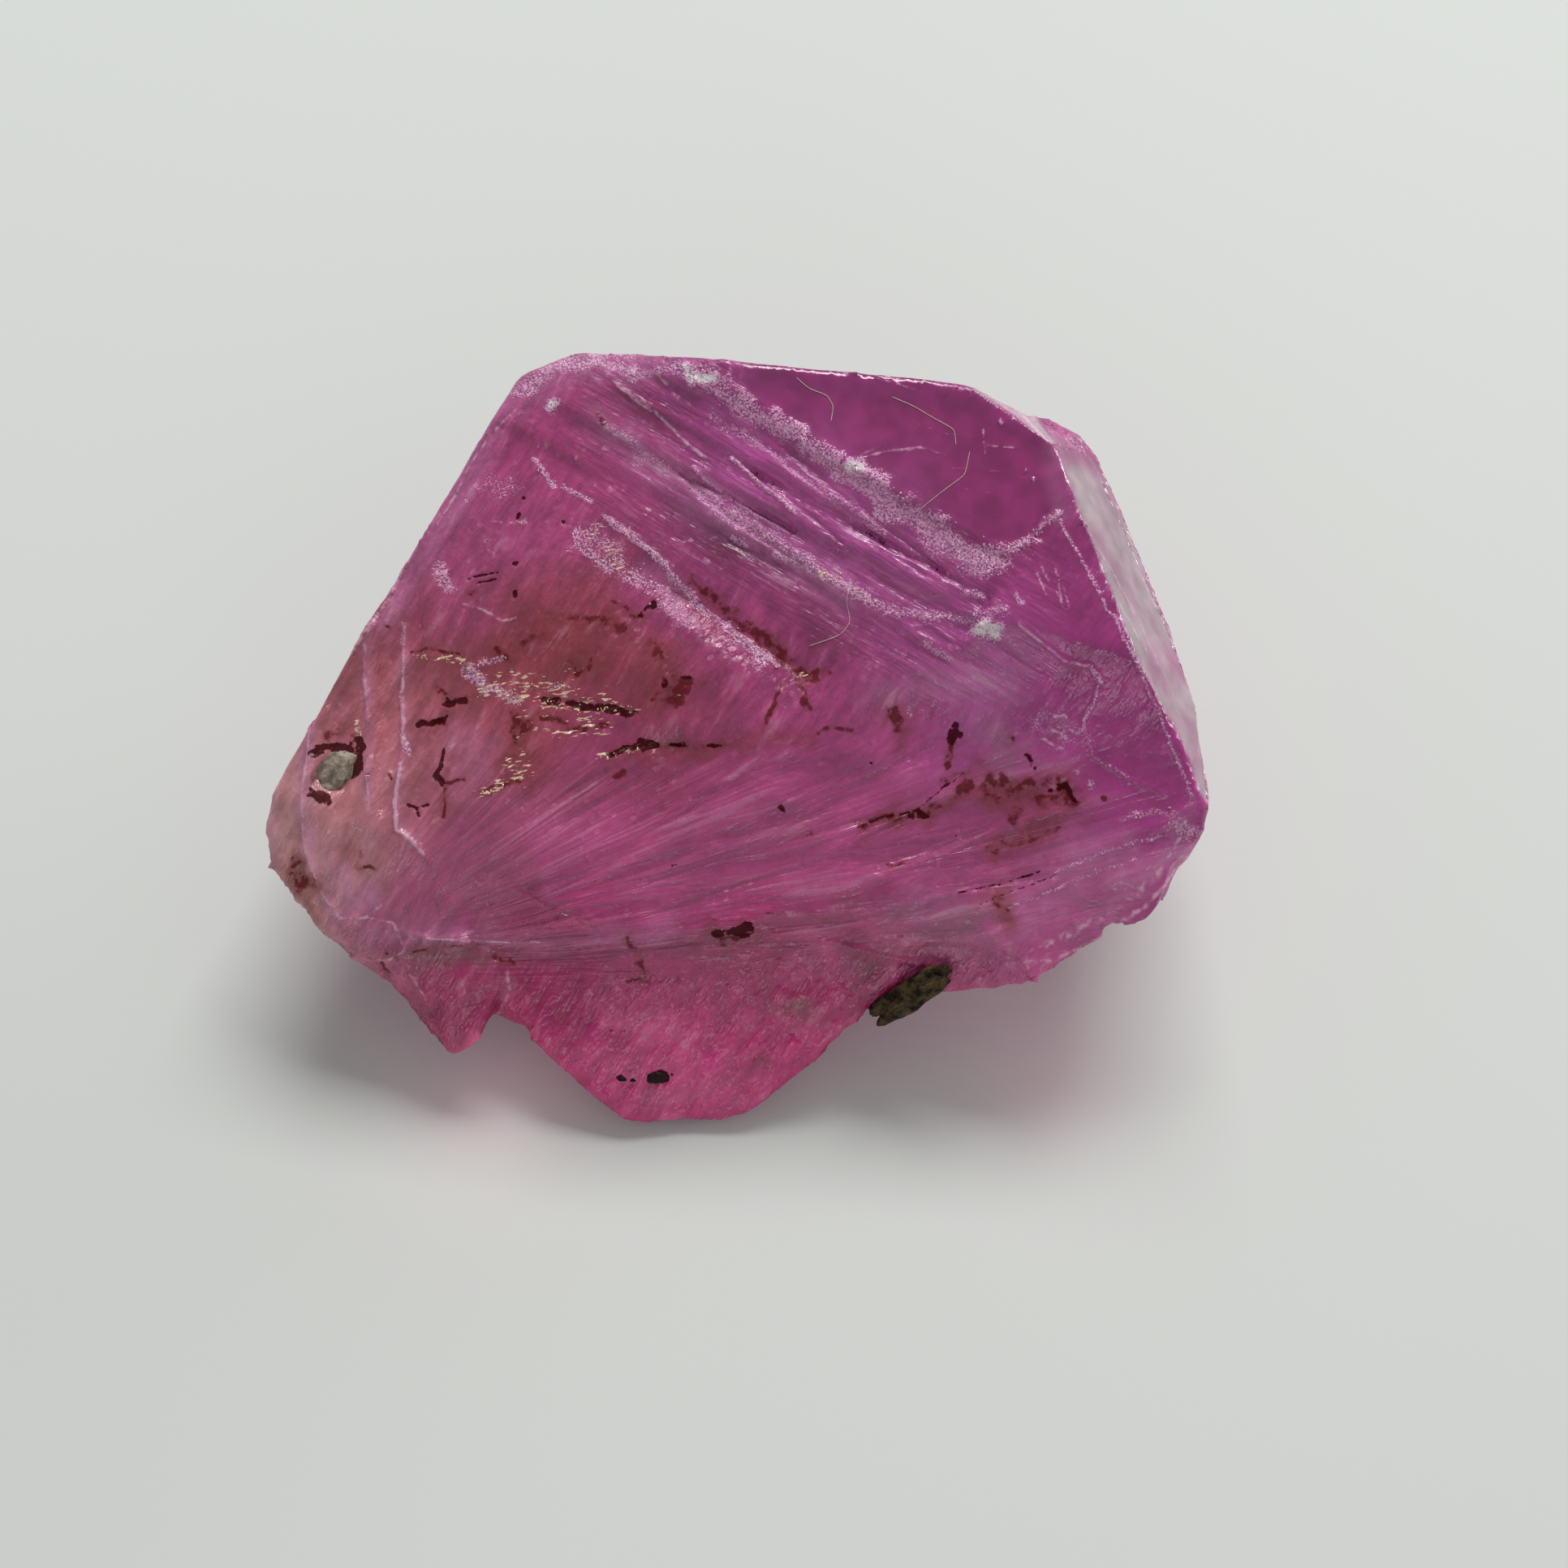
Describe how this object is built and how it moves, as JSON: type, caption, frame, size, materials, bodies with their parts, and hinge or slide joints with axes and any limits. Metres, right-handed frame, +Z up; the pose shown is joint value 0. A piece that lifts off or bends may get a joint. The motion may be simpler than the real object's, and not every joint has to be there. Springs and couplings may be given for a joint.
{
  "type": "rough sapphire crystal",
  "caption": "Rough pink sapphire: a broken, stubby six-sided crystal with a stepped flat end face, a glassy side facet, a shell-like broken front and a pointed lower wedge.",
  "frame": {"origin": "on the ground, under the middle of the box round the stone", "axes": "+X along the longest extent, +Z up as it lies, -Y towards the broken front and the wedge"},
  "size_m": [0.0126, 0.0104, 0.0062],
  "materials": {
    "pink_corundum": "glossy crystal faces, satin and frosted breaks"
  },
  "bodies": {
    "root": {"sapphire": "pink_corundum"}
  },
  "joints": []
}
